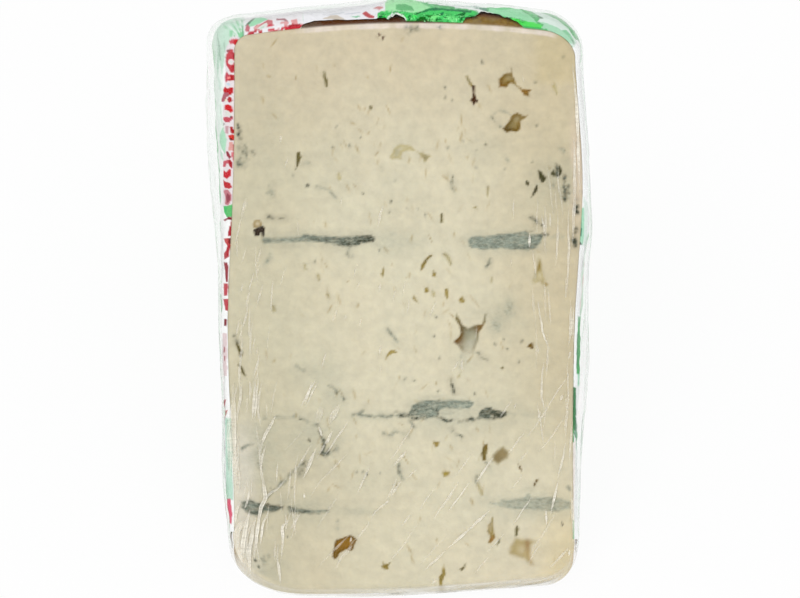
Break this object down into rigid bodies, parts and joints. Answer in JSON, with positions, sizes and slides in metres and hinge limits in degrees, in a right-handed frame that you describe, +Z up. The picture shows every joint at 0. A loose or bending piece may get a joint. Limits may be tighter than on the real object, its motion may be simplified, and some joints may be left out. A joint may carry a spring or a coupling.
{
  "type": "blue cheese wedge",
  "caption": "Wedge of blue-veined soft cheese with printed foil on its rind sides, wrapped tightly in clear film and lying on one cut face.",
  "frame": {"origin": "bottom centre of the bounding box, on the surface the wedge lies on", "axes": "+X across the wheel, from one flat side to the other; +Y from the tip to the heel along the rear cut face; +Z up"},
  "size_m": [0.1014, 0.1574, 0.1112],
  "materials": {
    "paste": "soft ivory cheese paste with blue-grey mould veins and a thin brown rind",
    "foil": "thin aluminium foil printed bright green with a red band, crumpled",
    "film": "clear stretched film with fine creases"
  },
  "bodies": {
    "root": {"cheese": "paste", "foil_wrap": "foil", "cling_film": "film"}
  },
  "joints": []
}
